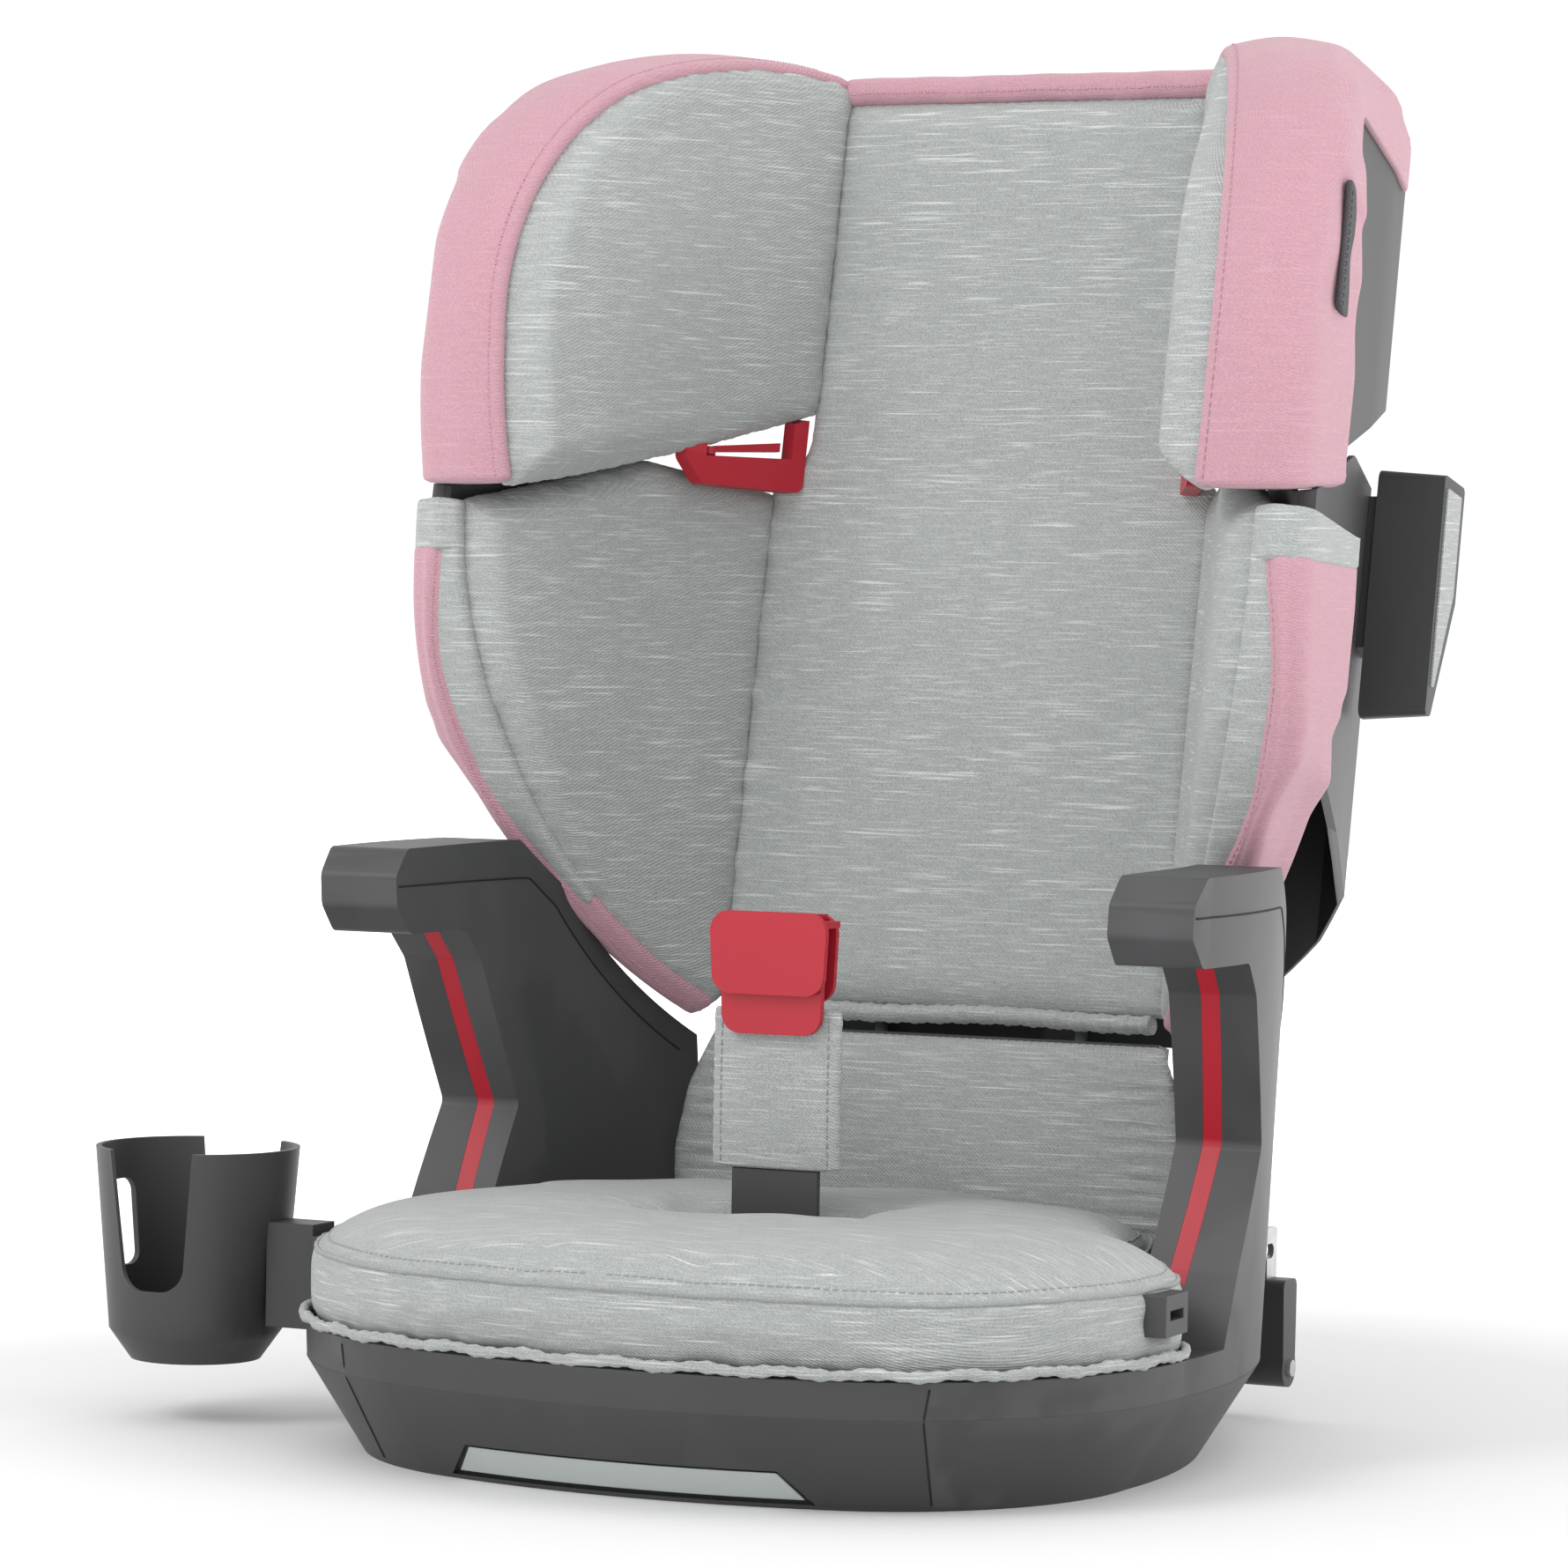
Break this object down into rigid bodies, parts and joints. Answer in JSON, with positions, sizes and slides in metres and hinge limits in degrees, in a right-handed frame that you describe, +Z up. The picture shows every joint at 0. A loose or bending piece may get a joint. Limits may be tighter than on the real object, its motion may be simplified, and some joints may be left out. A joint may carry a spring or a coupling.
{
  "type": "booster seat",
  "caption": "High-back child booster seat with winged backrest, height-adjustable headrest, armrests, plug-in cup holder, crotch-strap belt clip and side-impact pod.",
  "frame": {"origin": "on the floor under the middle of the base, on the seat's plane of symmetry", "axes": "+Z up, the seat faces -Y, +X is the occupant's left; millimetre sources, metres in the row"},
  "size_m": [0.5562, 0.4887, 0.6456],
  "materials": {
    "dark_plastic": "satin moulded charcoal",
    "red_plastic": "satin moulded red",
    "grey_fabric": "light grey melange twill with pale slubs",
    "pink_fabric": "dusty pink twill, topstitched",
    "foam": "open cell foam",
    "steel": "zinc plated",
    "pale_insert": "satin pale grey",
    "foot_rubber": "matt",
    "webbing": "dark woven"
  },
  "bodies": {
    "base": {"base_tub": "dark_plastic", "front_fascia": "dark_plastic", "front_insert": "pale_insert", "side_shell_left": "dark_plastic", "side_shell_right": "dark_plastic", "arm_inner_left": "dark_plastic", "arm_inner_right": "dark_plastic", "arm_cap_left": "dark_plastic", "arm_cap_right": "dark_plastic", "arm_stripes": "red_plastic", "seat_pan": "dark_plastic", "seat_foam": "foam", "seat_cover": "grey_fabric", "rear_flap": "grey_fabric", "cup_sockets": "dark_plastic", "rubber_feet": "foot_rubber", "base_screws": "steel", "recline_pins": "steel", "anchor_bar": "steel", "strap_bracket": "dark_plastic"},
    "backrest": {"back_shell": "dark_plastic", "back_liner": "dark_plastic", "torso_foam": "foam", "torso_cover": "grey_fabric", "torso_trim_left": "pink_fabric", "torso_trim_right": "pink_fabric", "torso_hem": "grey_fabric", "recline_legs": "dark_plastic", "leg_screws": "steel", "head_rails": "dark_plastic", "height_rack": "dark_plastic", "pod_docks": "dark_plastic"},
    "headrest": {"head_shell": "dark_plastic", "head_carrier": "dark_plastic", "head_screws": "steel", "head_foam": "foam", "head_cover": "grey_fabric", "head_trim_left": "pink_fabric", "head_trim_right": "pink_fabric", "belt_guides": "red_plastic", "side_tag": "webbing"},
    "lever": {"height_lever": "dark_plastic"},
    "bolt": {"lock_bolt": "steel"},
    "gate_left": {"belt_gate_left": "red_plastic"},
    "gate_right": {"belt_gate_right": "red_plastic"},
    "cup_holder": {"cup": "dark_plastic", "cup_bracket": "dark_plastic"},
    "clip_strap": {"strap_stalk": "dark_plastic", "strap_webbing": "webbing", "strap_pad": "grey_fabric"},
    "clip": {"belt_clip": "red_plastic"},
    "side_pod": {"pod_housing": "dark_plastic", "pod_panel": "grey_fabric"},
    "pod_catch": {"pod_button": "dark_plastic"},
    "anchor_left": {"connector_left": "dark_plastic", "hook_left": "steel"},
    "anchor_right": {"connector_right": "dark_plastic", "hook_right": "steel"},
    "anchor_catch_left": {"connector_button_left": "red_plastic"},
    "anchor_catch_right": {"connector_button_right": "red_plastic"}
  },
  "joints": [
    {"name": "back_recline", "type": "hinge", "parent": "base", "child": "backrest", "pos_m": [0, 0.128, 0.046], "axis": [-1, 0, 0], "range_deg": [0, 15]},
    {"name": "headrest_height", "type": "slide", "parent": "backrest", "child": "headrest", "axis": [0, 0.2079, 0.9781], "range_m": [0, 0.16]},
    {"name": "lever_squeeze", "type": "slide", "parent": "headrest", "child": "lever", "axis": [0, 0.2079, 0.9781], "range_m": [0, 0.008]},
    {"name": "bolt_release", "type": "slide", "parent": "headrest", "child": "bolt", "axis": [0, -0.9781, 0.2079], "range_m": [0, 0.0035]},
    {"name": "gate_left_open", "type": "hinge", "parent": "headrest", "child": "gate_left", "pos_m": [0.12595, 0.10771, 0.45278], "axis": [0, -0.2079, -0.9781], "range_deg": [0, 30]},
    {"name": "gate_right_open", "type": "hinge", "parent": "headrest", "child": "gate_right", "pos_m": [-0.12595, 0.10771, 0.45278], "axis": [0, 0.2079, 0.9781], "range_deg": [0, 30]},
    {"name": "cup_unplug", "type": "slide", "parent": "base", "child": "cup_holder", "axis": [-1, 0, 0], "range_m": [0, 0.04]},
    {"name": "strap_lean", "type": "hinge", "parent": "base", "child": "clip_strap", "pos_m": [0, -0.073, 0.096], "axis": [1, 0, 0], "range_deg": [-12, 50]},
    {"name": "clip_height", "type": "slide", "parent": "clip_strap", "child": "clip", "axis": [0, 0, -1], "range_m": [0, 0.035]},
    {"name": "pod_release", "type": "slide", "parent": "backrest", "child": "side_pod", "axis": [1, 0, 0], "range_m": [0, 0.04]},
    {"name": "pod_press", "type": "slide", "parent": "side_pod", "child": "pod_catch", "axis": [0, -0.9781, 0.2079], "range_m": [0, 0.0025]},
    {"name": "anchor_left_swing", "type": "hinge", "parent": "base", "child": "anchor_left", "pos_m": [0.154, 0.148, 0.024], "axis": [-1, 0, 0], "range_deg": [0, 95]},
    {"name": "anchor_right_swing", "type": "hinge", "parent": "base", "child": "anchor_right", "pos_m": [-0.154, 0.148, 0.024], "axis": [-1, 0, 0], "range_deg": [0, 95]},
    {"name": "anchor_left_press", "type": "slide", "parent": "anchor_left", "child": "anchor_catch_left", "axis": [0, 0, 1], "range_m": [0, 0.004]},
    {"name": "anchor_right_press", "type": "slide", "parent": "anchor_right", "child": "anchor_catch_right", "axis": [0, 0, 1], "range_m": [0, 0.004]}
  ],
  "couplings": [
    {"joint": "bolt_release", "follows": "lever_squeeze", "ratio": 0.4375}
  ]
}
